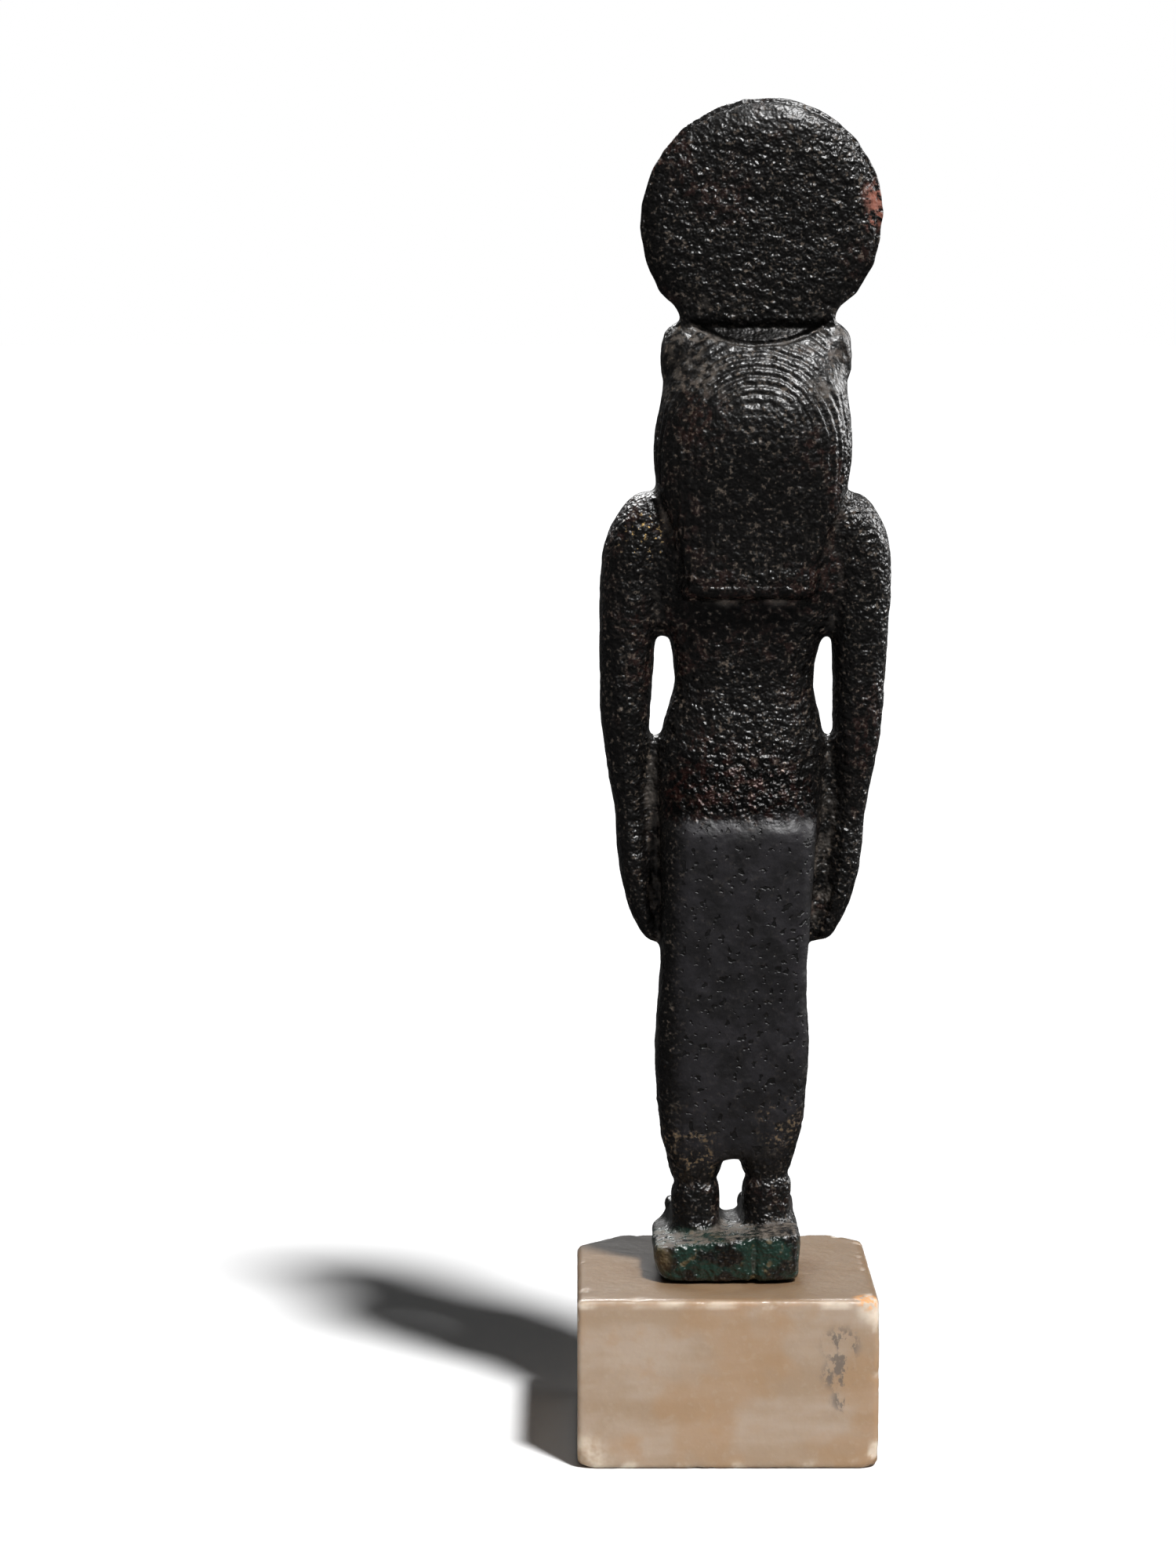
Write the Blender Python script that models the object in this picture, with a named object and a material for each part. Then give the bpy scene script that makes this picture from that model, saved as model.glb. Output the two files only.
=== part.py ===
"""Cast bronze lioness-headed goddess under a sun disc, standing on a block of banded stone.

The figure faces -Y, so its left hand is at +X. The origin is the middle of the stone's underside.
The figure is one casting: it is built up in wax, form by form, and the forms are then melted together.
"""

import math

import bmesh
import bpy
from mathutils import Euler, Matrix, Vector

MM = 0.001

# The stone block
STONE_WIDTH = 44.0 * MM
STONE_DEPTH = 40.0 * MM
STONE_HEIGHT = 25.3 * MM
STONE_EDGE = 0.5 * MM  # how far its worn edges are rounded
CHIP_FAR_LEFT = 7.0 * MM  # how far each knocked-off corner runs along its edges
CHIP_FAR_RIGHT = 4.2 * MM
CHIP_NEAR_RIGHT = 2.4 * MM
CHIP_FOOT = 2.2 * MM

# The bronze plinth under the feet, cast with the figure
PLINTH_WIDTH = 22.0 * MM
PLINTH_DEPTH = 20.0 * MM
PLINTH_HEIGHT = 6.4 * MM  # in its middle
PLINTH_TILT = 1.1 * MM  # how far its top rises at the figure's right side, and falls at the left
PLINTH_UNDERCUT = 1.1 * MM  # how far its left side leans in at the foot
PLINTH_SET_BACK = 1.2 * MM  # from the stone's middle, towards the figure's back
SEAT_GAP = 0.3 * MM  # between the plinth and the stone
SOLE_SINK = 1.6 * MM  # how far the feet run down into the plinth

# The figure, from its soles to the top of the disc. Its forms are shares of this height: they are
# written in units of which CARVED_HEIGHT make the whole, so that at this size a unit is a millimetre.
FIGURE_HEIGHT = 166.8 * MM
CARVED_HEIGHT = 166.8
UNIT = FIGURE_HEIGHT / CARVED_HEIGHT

LEG_OFFSET = -1.0  # the legs stand a little to the figure's right of the plinth's middle
LEAN_FROM = 34.0  # above this height the body leans to its right
LEAN = 0.0330  # sideways units for each unit of height

# How far the hand and the shoulder stand off from the measured arm: the left at +1, the right at -1
ARM_STAND_OFF = {1: (0.0, 0.65), -1: (0.95, 0.0)}

SIDES = 48  # points round each ring of a form
WAX_GRAIN = 0.42  # the finest form that the melted wax keeps
MELT_PASSES = 4  # rounds of smoothing, which soften the joints between the forms
FACE_SHARE = 0.043  # the share of the fine faces that the finished solid keeps

BRONZE = ((0.035, 0.029, 0.026, 1.0), 0.38, 0.9)  # colour, roughness, metallic
STONE = ((0.52, 0.42, 0.29, 1.0), 0.35, 0.0)


def material(name, finish):
    colour, roughness, metallic = finish
    made = bpy.data.materials.new(name)
    made.use_nodes = True
    shader = made.node_tree.nodes["Principled BSDF"]
    shader.inputs["Base Color"].default_value = colour
    shader.inputs["Roughness"].default_value = roughness
    shader.inputs["Metallic"].default_value = metallic
    return made


def object_from(name, bm, finish):
    """Closes a bmesh into a named object with its own material."""
    bmesh.ops.recalc_face_normals(bm, faces=bm.faces)
    mesh = bpy.data.meshes.new(name)
    bm.to_mesh(mesh)
    bm.free()
    made = bpy.data.objects.new(name, mesh)
    made.data.materials.append(material(name, finish))
    bpy.context.scene.collection.objects.link(made)
    return made


def eased(stations, steps):
    """Rows of numbers that run smoothly through the stations, with so many steps between two."""
    rows = []
    last = len(stations) - 1
    for i in range(last):
        before, here = stations[max(i - 1, 0)], stations[i]
        there, after = stations[i + 1], stations[min(i + 2, last)]
        for step in range(steps):
            t = step / steps
            rows.append(
                [
                    b + 0.5 * t * (c - a + t * (2 * a - 5 * b + 4 * c - d + t * (3 * (b - c) + d - a)))
                    for a, b, c, d in zip(before, here, there, after)
                ]
            )
    rows.append(list(stations[last]))
    return rows


def rounded(angle, power):
    """A point on a rounded square of half-width 1: power 2 is a circle, and more is squarer."""
    c, s = math.cos(angle), math.sin(angle)
    return (
        math.copysign(abs(c) ** (2 / power), c),
        math.copysign(abs(s) ** (2 / power), s),
    )


def outline(x, y, z, half_width, front, back, front_power, back_power):
    """A level ring about (x, y, z), which reaches so far to its front (-Y) and its back."""
    points = []
    for i in range(SIDES):
        angle = 2 * math.pi * (i + 0.5) / SIDES
        behind = math.sin(angle) > 0
        across, along = rounded(angle, back_power if behind else front_power)
        points.append(Vector((x + across * half_width, y + along * (back if behind else front), z)))
    return points


def add(bm, lump):
    """Adds a finished lump to the rest of the wax."""
    mesh = bpy.data.meshes.new("lump")
    lump.to_mesh(mesh)
    lump.free()
    bm.from_mesh(mesh)
    bpy.data.meshes.remove(mesh)


def loft(bm, rings, turn=None):
    """Wraps a sheet round the rings in order, closes both ends, and turns it if a matrix is given."""
    lump = bmesh.new()
    sides, last = len(rings[0]), len(rings) - 1
    sheet = bmesh.ops.create_grid(lump, x_segments=sides, y_segments=last, size=1.0)["verts"]
    for vert in sheet:
        column, row = round((vert.co.x + 1) / 2 * sides), round((vert.co.y + 1) / 2 * last)
        vert.co = rings[row][column % sides]
    bmesh.ops.remove_doubles(lump, verts=lump.verts, dist=1e-7)
    bmesh.ops.holes_fill(lump, edges=[edge for edge in lump.edges if edge.is_boundary])
    if turn is not None:
        bmesh.ops.transform(lump, matrix=turn, verts=lump.verts)
    bmesh.ops.recalc_face_normals(lump, faces=lump.faces)
    add(bm, lump)


def bead(bm, centre, radii, tilt=(0.0, 0.0, 0.0)):
    """An egg-shaped lump of wax, with its tilt in degrees."""
    turn = Euler([math.radians(a) for a in tilt])
    place = Matrix.LocRotScale(Vector(centre), turn, Vector(radii))
    lump = bmesh.new()
    bmesh.ops.create_uvsphere(lump, u_segments=24, v_segments=16, radius=1.0, matrix=place)
    add(bm, lump)


def pair_of_beads(bm, centre, radii, tilt=(0.0, 0.0, 0.0)):
    """The same lump on both sides of the face or body."""
    x, y, z = centre
    pitch, roll, yaw = tilt
    for side in (1, -1):
        bead(bm, (side * x, y, z), radii, (pitch, side * roll, side * yaw))


def cord_of_wax(bm, path, steps=6):
    """A strip that follows stations of (x, y, z, half width, half depth), each ring level."""
    rings = [outline(x, y, z, width, depth, depth, 2, 2) for x, y, z, width, depth in eased(path, steps)]
    loft(bm, rings)


def body(bm):
    """The sheath dress and the trunk, from the hem to the neck. Its back is a flat panel below the seat."""
    stations = (
        # height, half width, front, back, front power, back power
        (10.4, 9.2, 4.1, 4.7, 2.6, 4.2),
        (11.6, 9.7, 4.2, 4.9, 2.6, 4.5),
        (14.0, 10.4, 4.3, 5.3, 2.5, 5.0),
        (19.0, 11.0, 4.6, 5.7, 2.4, 5.5),
        (27.0, 11.5, 5.1, 6.4, 2.3, 5.5),
        (38.0, 10.9, 5.3, 7.4, 2.2, 5.5),
        (48.0, 11.1, 5.9, 8.3, 2.2, 5.5),
        (57.5, 11.4, 6.3, 9.0, 2.2, 5.0),
        (60.6, 11.5, 6.3, 9.1, 2.2, 4.6),
        (62.6, 11.7, 6.3, 8.4, 2.2, 3.8),
        (66.5, 12.1, 6.2, 7.0, 2.2, 2.8),
        (71.0, 12.3, 5.9, 5.9, 2.2, 2.6),
        (76.0, 11.6, 5.2, 5.2, 2.3, 2.6),
        (81.5, 10.3, 4.5, 4.7, 2.3, 2.6),
        (88.0, 11.2, 4.9, 5.2, 2.4, 3.0),
        (94.0, 14.0, 5.6, 6.0, 2.6, 3.4),
        (101.0, 16.5, 5.4, 6.2, 2.8, 3.4),
        (106.0, 15.5, 4.8, 5.6, 2.6, 3.0),
        (110.0, 12.0, 3.8, 4.4, 2.2, 2.4),
    )
    loft(bm, [outline(0, 0, z, *ring) for z, *ring in eased(stations, 4)])


def legs(bm):
    """The two shins and thighs, which show as long swellings on the front of the dress."""
    stations = (
        # height, x, half width, front
        (10.6, 5.0, 3.8, 4.5),
        (16.0, 5.2, 4.4, 5.1),
        (28.0, 5.3, 4.8, 5.7),
        (36.0, 5.1, 4.7, 6.3),
        (50.0, 5.2, 5.0, 6.7),
        (64.0, 5.2, 5.2, 6.3),
        (70.0, 4.8, 4.6, 5.3),
    )
    for side in (1, -1):
        rings = [outline(side * x, 0, z, width, front, 3, 2, 2) for z, x, width, front in eased(stations, 4)]
        loft(bm, rings)


def arms(bm):
    """Arms that hang beside the body, with flat hands laid on the thighs."""
    stations = (
        # height, outer side, inner side, middle of its depth, half depth
        (109.6, 16.0, 10.5, 0.4, 2.4),
        (108.2, 17.6, 10.4, 0.4, 3.9),
        (105.6, 19.3, 10.6, 0.5, 4.8),
        (102.0, 20.7, 11.4, 0.6, 5.1),
        (97.0, 21.1, 12.0, 0.6, 5.0),
        (90.0, 21.0, 12.5, 0.6, 4.6),
        (84.0, 20.8, 12.8, 0.5, 4.2),
        (77.0, 20.5, 13.1, 0.2, 4.1),
        (70.0, 19.6, 13.4, -0.2, 3.8),
        (64.0, 18.4, 13.5, -0.5, 3.3),
        (60.5, 18.0, 13.3, -0.6, 3.4),
        (55.0, 17.6, 12.9, -0.6, 3.9),
        (49.5, 16.3, 12.2, -0.5, 3.7),
        (45.5, 14.7, 11.0, -0.3, 3.0),
        (43.2, 13.2, 10.6, -0.2, 2.3),
    )
    for side, (hand_out, shoulder_out) in ARM_STAND_OFF.items():
        rings = []
        for z, outer, inner, y, depth in eased(stations, 4):
            rise = min(max((z - 50.0) / 36.0, 0.0), 1.0)
            middle, half = (outer + inner) / 2 + hand_out + rise * (shoulder_out - hand_out), (outer - inner) / 2
            rings.append(outline(side * middle, y, z, half, depth, depth, 2.3, 2.3))
        loft(bm, rings)
        bead(bm, (side * (13.6 + hand_out), -4.3, 53.0), (1.5, 1.2, 4.0), (-8, 0, 0))  # the thumb


def webs(bm):
    """Thin metal left between the arms and the hips, and the pits of the arms."""
    stations = (
        # height, half width, half depth
        (42.8, 12.6, 1.6),
        (47.0, 13.5, 1.9),
        (60.0, 15.5, 1.9),
        (69.0, 15.6, 1.8),
        (73.6, 15.4, 1.3),
    )
    loft(bm, [outline(0, -0.4, z, width, depth, depth, 6, 6) for z, width, depth in eased(stations, 4)])
    pits = (
        # height, half width, half depth
        (88.6, 14.0, 1.6),
        (91.0, 16.0, 3.0),
        (97.0, 17.6, 4.2),
        (104.0, 17.0, 4.3),
        (107.0, 15.5, 3.6),
    )
    loft(bm, [outline(0, 0.6, z, width, depth, depth, 5, 5) for z, width, depth in eased(pits, 4)])


def feet(bm):
    """Ankles like short pillars under the hem, and flat feet that spread towards the toes."""
    ankle = (
        # height, half width, half depth
        (-SOLE_SINK / UNIT, 3.6, 4.2),
        (0.5, 3.55, 4.1),
        (3.0, 3.6, 3.8),
        (5.4, 3.7, 3.8),
        (6.4, 3.6, 3.6),
        (7.0, 3.1, 3.1),
        (7.6, 3.1, 3.2),
        (8.2, 3.75, 3.5),
        (9.2, 3.85, 3.7),
        (10.8, 4.4, 3.9),
        (12.0, 4.5, 3.9),
    )
    foot = (
        # distance forwards from the heel, middle of its width, half width, height of its top
        (0.8, 5.3, 2.6, 5.0),
        (3.0, 5.3, 3.5, 5.8),
        (6.5, 5.3, 3.8, 4.8),
        (9.5, 5.5, 4.1, 3.5),
        (12.0, 5.6, 4.3, 2.8),
        (13.2, 5.6, 4.1, 2.2),
    )
    heel = 4.8
    sole = -SOLE_SINK / UNIT
    upright = Matrix.Rotation(math.radians(90), 4, "X")
    for side in (1, -1):
        loft(bm, [outline(side * 5.3, 0.8, z, width, depth, depth, 2.5, 2.5) for z, width, depth in eased(ankle, 3)])
        rings = []
        for along, x, width, top in eased(foot, 4):
            rings.append(outline(side * x, 0, along - heel, width, -sole, top, 4, 2.4))
        loft(bm, rings, upright)
        for toe in range(5):
            x = side * (5.6 + (toe - 2) * 1.6)
            bead(bm, (x, -8.6 + 0.45 * toe, 1.2), (0.85, 1.5, 1.1 + 0.25 * (toe == 0)))


def chest(bm):
    """The breasts, and the collar bones that the front of the wig lies over."""
    pair_of_beads(bm, (5.7, -4.2, 93.4), (4.0, 3.2, 4.2))
    bead(bm, (0, -2.6, 104.0), (11.5, 4.4, 5.2))


def wig(bm):
    """The long wig: its cap, the back that ends in a ledge, and two front lappets."""
    cap = (
        # height, half width, front, back, front power, back power
        (94.4, 9.9, 1.0, 8.3, 4.0, 6.0),
        (96.0, 10.1, 1.4, 8.6, 4.0, 6.0),
        (102.0, 11.0, 2.4, 8.7, 3.6, 5.6),
        (106.5, 12.5, 4.0, 8.9, 3.0, 5.0),
        (110.0, 13.8, 5.4, 9.3, 2.6, 4.2),
        (116.0, 14.6, 5.8, 9.9, 2.5, 3.2),
        (120.5, 14.2, 5.9, 9.7, 2.6, 2.9),
        (124.0, 13.6, 5.8, 8.8, 2.7, 2.8),
        (128.0, 12.9, 5.6, 6.9, 2.8, 2.6),
        (131.0, 12.0, 5.2, 4.9, 3.0, 2.6),
        (132.8, 10.9, 4.6, 3.2, 3.0, 2.6),
        (133.6, 9.6, 3.9, 2.2, 3.0, 2.6),
    )
    lappet = (
        # height, x, half width, front
        (97.6, 8.2, 3.9, 7.3),
        (98.6, 8.3, 4.1, 7.8),
        (103.0, 8.8, 4.3, 8.0),
        (108.0, 9.3, 4.3, 7.6),
        (112.0, 9.6, 4.1, 7.0),
        (115.5, 9.6, 3.7, 6.2),
        (118.5, 9.4, 3.0, 5.0),
    )
    loft(bm, [outline(0, 0, z, *ring) for z, *ring in eased(cap, 4)])
    for side in (1, -1):
        rings = [outline(side * x, 0, z, width, front, 2.0, 4.0, 4) for z, x, width, front in eased(lappet, 4)]
        loft(bm, rings)


def ears(bm):
    """Round ears that stand at the corners of the head, hollow in front."""
    pair_of_beads(bm, (11.4, 0.6, 129.6), (2.7, 2.6, 4.9), (0, -9, 0))
    for side in (1, -1):
        rim = []
        for i in range(13):
            angle = math.radians(-50 + 230 * i / 12)
            rim.append((side * (11.2 + 2.1 * math.cos(angle)), -1.6, 130.0 + 3.4 * math.sin(angle)))
        for x, y, z in rim:
            bead(bm, (x, y, z), (0.75, 1.5, 0.75))


def ruff(bm):
    """The ring of mane that frames the face, wide at the cheeks and pointed under the chin."""
    turns = 32
    for i in range(turns):
        angle = 2 * math.pi * i / turns
        across, up = math.cos(angle), math.sin(angle)
        reach = 9.6 + 0.8 * abs(across) - 0.7 * max(up, 0)
        middle = Vector((reach * across, -6.1 + 0.5 * abs(across), 119.3 + reach * up))
        bead(bm, middle, (2.1, 1.5, 1.9), (0, -math.degrees(angle), 0))


def face(bm):
    """The lioness's face: brow, broad nose, muzzle, chin, cheeks and eyes."""
    bead(bm, (0, -3.9, 120.6), (8.6, 5.2, 9.2))  # the skull
    cord_of_wax(
        bm,
        (
            # x, y, height, half width, half depth: the chin, the muzzle, the nose and the forehead
            (0, -7.2, 111.6, 1.9, 1.4),
            (0, -8.6, 112.9, 3.0, 2.5),
            (0, -9.0, 114.6, 3.7, 2.9),
            (0, -9.3, 116.4, 4.3, 3.3),
            (0, -9.3, 118.2, 3.8, 3.3),
            (0, -8.9, 119.6, 2.7, 3.1),
            (0, -8.0, 121.8, 1.9, 2.5),
            (0, -7.2, 124.4, 2.0, 2.2),
            (0, -6.2, 127.2, 2.6, 1.9),
        ),
    )
    pair_of_beads(bm, (2.35, -10.5, 116.2), (2.3, 2.0, 2.0))  # the lips and whisker pads
    bead(bm, (0, -12.0, 118.7), (2.1, 1.1, 1.15), (18, 0, 0))  # the nose
    pair_of_beads(bm, (5.5, -6.9, 116.8), (3.1, 2.9, 3.7), (0, 14, 0))  # the cheeks
    pair_of_beads(bm, (3.9, -8.0, 122.1), (1.75, 1.15, 0.95), (0, -14, -18))  # the eyes
    pair_of_beads(bm, (3.9, -7.6, 124.0), (2.5, 1.3, 0.8), (0, -16, -18))  # the brows


def sun_disc(bm):
    """A thick disc on edge, lens-shaped, with a rounded rim. Its foot is sunk into the head."""
    radius, middle = 17.8, 149.0
    profile = (
        # share of the radius, distance behind the disc's middle
        (0.0, 2.75),
        (0.45, 2.7),
        (0.80, 2.45),
        (0.93, 2.05),
        (0.985, 1.2),
    )
    rings = []
    for side, rows in ((-1, profile[1:]), (1, profile[:0:-1])):
        for share, depth in rows:
            reach = share * radius
            rings.append(outline(0, 0, side * depth, reach, reach, reach, 2, 2))
    upright = Matrix.Translation((0, 0.2, middle)) @ Matrix.Rotation(math.radians(90), 4, "X")
    loft(bm, rings, upright)
    foot = ((131.0, 10.8), (134.6, 11.3), (137.0, 12.6))  # height, half width
    loft(bm, [outline(0, 0.2, z, width, 2.3, 2.3, 4, 4) for z, width in eased(foot, 3)])


def cobra(bm):
    """The rearing cobra at the front of the disc."""
    cord_of_wax(
        bm,
        (
            (0, -4.6, 131.6, 1.2, 1.3),
            (0, -4.4, 134.0, 1.6, 1.1),
            (0, -4.0, 137.0, 2.0, 1.0),
            (0, -3.9, 139.8, 1.9, 1.0),
            (0, -4.2, 141.8, 1.1, 1.1),
        ),
    )
    bead(bm, (0, -4.9, 142.4), (1.0, 1.7, 0.95), (12, 0, 0))
    bead(bm, (0, -2.9, 136.6), (1.0, 1.8, 5.2))  # its back, against the disc


def sway(height):
    """How far the figure's middle stands to its left at a height: the body leans to its right."""
    return LEG_OFFSET - LEAN * max(height - LEAN_FROM, 0.0)


def plinth(bm):
    """The small cast plinth, lower at the figure's left, with rounded far corners."""
    foot = STONE_HEIGHT + SEAT_GAP
    levels = (
        # share of the height, share of the undercut, how far the edge is drawn in
        (0.0, 1.0, 0.5 * MM),
        (0.12, 0.85, 0.0),
        (0.88, 0.1, 0.0),
        (1.0, 0.0, 0.35 * MM),
    )
    rings = []
    for share, undercut, drawn in levels:
        shift = -undercut * PLINTH_UNDERCUT / 2
        half = PLINTH_WIDTH / 2 + shift - drawn
        depth = PLINTH_DEPTH / 2 - drawn
        points = outline(shift, PLINTH_SET_BACK, 0, half, depth, depth, 5.5, 9)
        for point in points:
            lift = PLINTH_HEIGHT - PLINTH_TILT * point.x / (PLINTH_WIDTH / 2)
            point.z = foot + share * lift
        rings.append(points)
    loft(bm, rings)


def stand_on_plinth(bm):
    """Sizes the carved forms, leans them and stands them on the plinth's sloping top."""
    for vert in bm.verts:
        x, y, z = vert.co
        x += sway(z)
        fall = PLINTH_TILT * x * UNIT / (PLINTH_WIDTH / 2)
        near_feet = max(0.0, 1.0 - max(z, 0.0) / LEAN_FROM)
        vert.co = Vector((x, y, z)) * UNIT
        vert.co.z += STONE_HEIGHT + SEAT_GAP + PLINTH_HEIGHT - fall * near_feet


def melted(figure):
    """Melts the forms into one skin, softens their joints, and keeps as few faces as the shape needs."""
    remesh = figure.modifiers.new("melt", "REMESH")
    remesh.mode = "VOXEL"
    remesh.voxel_size = WAX_GRAIN * UNIT
    smooth = figure.modifiers.new("soften", "SMOOTH")
    smooth.factor = 0.5
    smooth.iterations = MELT_PASSES
    thin = figure.modifiers.new("thin", "DECIMATE")
    thin.ratio = FACE_SHARE
    return figure


def bronze_figure():
    bm = bmesh.new()
    for form in (body, legs, arms, webs, feet, chest, wig, ears, ruff, face, sun_disc, cobra):
        form(bm)
    stand_on_plinth(bm)
    plinth(bm)
    return melted(object_from("bronze_figure", bm, BRONZE))


def chip(bm, corner, reach, drop):
    """Knocks a corner off: the cut runs so far along both level edges, and so far up or down."""
    x, y, z = corner
    inwards = Vector((-math.copysign(1 / reach, x), -math.copysign(1 / reach, y), 0.0))
    inwards.z = -1 / drop if z > STONE_HEIGHT / 2 else 1 / drop
    start = Vector(corner) + Vector((-math.copysign(reach, x), 0.0, 0.0))
    everything = bm.verts[:] + bm.edges[:] + bm.faces[:]
    bmesh.ops.bisect_plane(bm, geom=everything, plane_co=start, plane_no=-inwards, clear_outer=True)
    bmesh.ops.holes_fill(bm, edges=[edge for edge in bm.edges if edge.is_boundary])


def stone_base():
    """A sawn block with worn edges and knocked corners."""
    bm = bmesh.new()
    size = Vector((STONE_WIDTH, STONE_DEPTH, STONE_HEIGHT))
    place = Matrix.Translation((0, 0, STONE_HEIGHT / 2)) @ Matrix.Diagonal(size).to_4x4()
    bmesh.ops.create_cube(bm, size=1.0, matrix=place)
    left, right, far, near = STONE_WIDTH / 2, -STONE_WIDTH / 2, -STONE_DEPTH / 2, STONE_DEPTH / 2
    chip(bm, (left, far, STONE_HEIGHT), CHIP_FAR_LEFT, 1.4 * CHIP_FAR_LEFT)
    chip(bm, (right, far, STONE_HEIGHT), CHIP_FAR_RIGHT, 1.4 * CHIP_FAR_RIGHT)
    chip(bm, (right, near, STONE_HEIGHT), CHIP_NEAR_RIGHT, 1.2 * CHIP_NEAR_RIGHT)
    chip(bm, (left, near, 0.0), CHIP_FOOT, CHIP_FOOT)
    chip(bm, (right, near, 0.0), CHIP_FOOT, CHIP_FOOT)
    block = object_from("stone_base", bm, STONE)
    edge = block.modifiers.new("worn edges", "BEVEL")
    edge.width = STONE_EDGE
    edge.segments = 2
    return block


def main():
    for old in list(bpy.data.objects):
        bpy.data.objects.remove(old)
    bronze_figure()
    stone_base()


main()
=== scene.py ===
"""A small cast bronze of a lioness-headed goddess on a block of banded stone, dressed for its portrait.

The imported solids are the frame. The bronze is carved from a fine copy of its solid, and so is the stone.
"""

import math

import bmesh
import bpy
import numpy as np
from bpy.props import FloatProperty, FloatVectorProperty, IntProperty, PointerProperty
from mathutils import Euler, Matrix, Vector, noise


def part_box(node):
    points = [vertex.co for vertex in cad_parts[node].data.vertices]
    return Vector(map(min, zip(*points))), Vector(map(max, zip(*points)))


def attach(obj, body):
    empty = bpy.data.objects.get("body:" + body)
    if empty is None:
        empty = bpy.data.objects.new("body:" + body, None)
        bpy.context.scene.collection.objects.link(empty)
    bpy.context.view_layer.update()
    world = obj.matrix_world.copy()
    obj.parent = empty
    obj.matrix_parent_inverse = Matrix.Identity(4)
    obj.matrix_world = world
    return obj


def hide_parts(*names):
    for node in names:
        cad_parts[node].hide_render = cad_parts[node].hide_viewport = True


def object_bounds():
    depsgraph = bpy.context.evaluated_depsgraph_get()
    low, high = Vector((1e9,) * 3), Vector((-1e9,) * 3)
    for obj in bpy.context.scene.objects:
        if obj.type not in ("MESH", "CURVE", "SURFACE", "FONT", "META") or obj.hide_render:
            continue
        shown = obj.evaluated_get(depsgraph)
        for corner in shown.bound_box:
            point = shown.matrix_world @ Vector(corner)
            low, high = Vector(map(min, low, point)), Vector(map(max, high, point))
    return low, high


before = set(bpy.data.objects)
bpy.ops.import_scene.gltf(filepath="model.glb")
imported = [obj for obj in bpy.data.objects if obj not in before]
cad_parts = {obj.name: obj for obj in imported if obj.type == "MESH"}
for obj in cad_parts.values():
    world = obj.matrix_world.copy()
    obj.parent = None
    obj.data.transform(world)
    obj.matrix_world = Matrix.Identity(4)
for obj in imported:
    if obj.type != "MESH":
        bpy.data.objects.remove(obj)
CAD_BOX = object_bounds()

bl_info = {
    "name": "Lioness Bronze",
    "version": (1, 0, 0),
    "blender": (4, 5, 0),
    "location": "View3D > Sidebar > Bronze",
    "description": "Dresses the solids of a small bronze figure and its stone block",
    "category": "Object",
}

MM = 0.001
STONE_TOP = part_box("stone_base")[1].z
FIGURE_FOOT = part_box("bronze_figure")[0].z
PLINTH_HEIGHT = 6.4

# The figure's forms are placed in its own millimetres, from its soles up and from its leaning middle line
SOLES = FIGURE_FOOT + PLINTH_HEIGHT * MM
LEG_OFFSET = -1.0
LEAN_FROM = 34.0
LEAN = 0.0330
FACE_MIDDLE = 119.3
DISC_MIDDLE = 149.0
DISC_RADIUS = 17.8
DISC_PLANE = 0.2


# Sizes and colours that a user would change


class BronzeSettings(bpy.types.PropertyGroup):
    grain: FloatProperty(
        name="Grain", description="Finest form kept when the casting is melted", default=0.00031, unit="LENGTH"
    )
    triangles: IntProperty(name="Triangles", description="Faces kept in the finished skin", default=188000)
    strand_pitch: FloatProperty(
        name="Strand pitch", description="Distance between two strands of the wig", default=0.00112, unit="LENGTH"
    )
    strand_depth: FloatProperty(
        name="Strand depth", description="Depth of the grooves between strands", default=0.00025, unit="LENGTH"
    )
    mane_locks: IntProperty(name="Mane locks", description="Locks in the ruff round the face", default=42)
    corrosion: FloatProperty(
        name="Corrosion", description="Height of the waves that corrosion left", default=0.00013, unit="LENGTH"
    )
    metal: FloatVectorProperty(
        name="Metal", description="Dark patina of the metal", size=3, subtype="COLOR", default=(0.0023, 0.0019, 0.0017)
    )
    brown: FloatVectorProperty(
        name="Brown", description="Red-brown patches", size=3, subtype="COLOR", default=(0.018, 0.0052, 0.0034)
    )
    cuprite: FloatVectorProperty(
        name="Cuprite", description="Bare red oxide at the rim", size=3, subtype="COLOR", default=(0.27, 0.080, 0.046)
    )
    ochre: FloatVectorProperty(
        name="Ochre", description="Mineral crusts near the hem", size=3, subtype="COLOR", default=(0.14, 0.090, 0.042)
    )
    green: FloatVectorProperty(
        name="Green", description="Green patina of the plinth", size=3, subtype="COLOR", default=(0.0068, 0.026, 0.0175)
    )
    dust: FloatVectorProperty(
        name="Dust", description="Pale dirt in the hollows", size=3, subtype="COLOR", default=(0.075, 0.060, 0.048)
    )


class StoneSettings(bpy.types.PropertyGroup):
    grain: FloatProperty(name="Grain", description="Fineness of the stone's mesh", default=0.0005, unit="LENGTH")
    wear: FloatProperty(name="Wear", description="How deep the edges are nicked", default=0.00030, unit="LENGTH")
    tan: FloatVectorProperty(
        name="Tan", description="Main colour", size=3, subtype="COLOR", default=(0.315, 0.225, 0.150)
    )
    pale: FloatVectorProperty(
        name="Pale", description="Pale bands", size=3, subtype="COLOR", default=(0.375, 0.290, 0.220)
    )
    amber: FloatVectorProperty(
        name="Amber", description="Amber veins", size=3, subtype="COLOR", default=(0.33, 0.195, 0.095)
    )
    # Chalk colours the chips and also a painted highlight line along the near top edge
    chalk: FloatVectorProperty(
        name="Chalk", description="Fresh chips", size=3, subtype="COLOR", default=(0.62, 0.54, 0.44)
    )


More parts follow.
